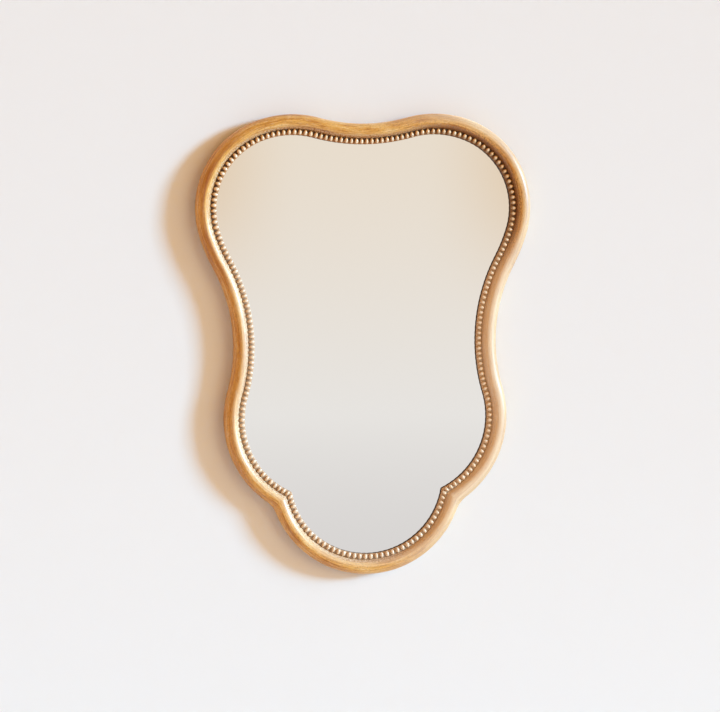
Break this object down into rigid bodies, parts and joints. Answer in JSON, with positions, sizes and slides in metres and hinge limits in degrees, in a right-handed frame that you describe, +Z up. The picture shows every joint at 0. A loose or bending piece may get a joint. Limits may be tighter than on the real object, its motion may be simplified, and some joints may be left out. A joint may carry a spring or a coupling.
{
  "type": "wall mirror",
  "caption": "Wall mirror with an irregular lobed outline in a gilded half-round wooden frame, a beaded sight edge and two hinged ring hangers on the back.",
  "frame": {"origin": "on the wall plane, where the two wall bumpers end, on the centre line and halfway up the mirror", "axes": "+Z up, +X to the viewer's right, the mirror faces -Y and the wall is on its +Y side"},
  "size_m": [0.6624, 0.033, 0.9028],
  "materials": {
    "gilded_wood": "honey-gold washed wood, satin lacquer",
    "gilded_bead": "orange-brown gilding with pale rubbed tops and dark patina between the beads",
    "silvered_glass": "polished silvered float glass",
    "grey_foam": "thin closed-cell foam sheet",
    "fibreboard": "raw brown fibreboard",
    "beech_dowel": "plain beech",
    "zinc_steel": "bright zinc plate",
    "bumper_rubber": "matt soft rubber"
  },
  "bodies": {
    "frame": {"back_board": "fibreboard", "bead_strip_foot": "gilded_bead", "bead_strip_left": "gilded_bead", "bead_strip_right": "gilded_bead", "board_screw_left_1": "zinc_steel", "board_screw_left_2": "zinc_steel", "board_screw_left_3": "zinc_steel", "board_screw_left_4": "zinc_steel", "board_screw_left_5": "zinc_steel", "board_screw_left_6": "zinc_steel", "board_screw_left_7": "zinc_steel", "board_screw_right_1": "zinc_steel", "board_screw_right_2": "zinc_steel", "board_screw_right_3": "zinc_steel", "board_screw_right_4": "zinc_steel", "board_screw_right_5": "zinc_steel", "board_screw_right_6": "zinc_steel", "board_screw_right_7": "zinc_steel", "cushion_sheet": "grey_foam", "dowel_crown_inner": "beech_dowel", "dowel_crown_outer": "beech_dowel", "dowel_cusp_left_inner": "beech_dowel", "dowel_cusp_left_outer": "beech_dowel", "dowel_cusp_right_inner": "beech_dowel", "dowel_cusp_right_outer": "beech_dowel", "dowel_shoulder_left_inner": "beech_dowel", "dowel_shoulder_left_outer": "beech_dowel", "dowel_shoulder_right_inner": "beech_dowel", "dowel_shoulder_right_outer": "beech_dowel", "dowel_waist_left_inner": "beech_dowel", "dowel_waist_left_outer": "beech_dowel", "dowel_waist_right_inner": "beech_dowel", "dowel_waist_right_outer": "beech_dowel", "hanger_screw_left_1": "zinc_steel", "hanger_screw_left_2": "zinc_steel", "hanger_screw_right_1": "zinc_steel", "hanger_screw_right_2": "zinc_steel", "hanger_strap_left": "zinc_steel", "hanger_strap_right": "zinc_steel", "mirror_glass": "silvered_glass", "rail_crown_left": "gilded_wood", "rail_crown_right": "gilded_wood", "rail_flank_left": "gilded_wood", "rail_flank_right": "gilded_wood", "rail_foot": "gilded_wood", "rail_hip_left": "gilded_wood", "rail_hip_right": "gilded_wood", "wall_bumper_left": "bumper_rubber", "wall_bumper_right": "bumper_rubber"},
    "ring_left": {"hanger_ring_left": "zinc_steel"},
    "ring_right": {"hanger_ring_right": "zinc_steel"}
  },
  "joints": [
    {"name": "ring_left_swing", "type": "hinge", "parent": "frame", "child": "ring_left", "pos_m": [-0.32018, -0.0033, 0.28753], "axis": [1, 0, 0], "range_deg": [0, 180]},
    {"name": "ring_right_swing", "type": "hinge", "parent": "frame", "child": "ring_right", "pos_m": [0.32018, -0.0033, 0.28753], "axis": [1, 0, 0], "range_deg": [0, 180]}
  ]
}
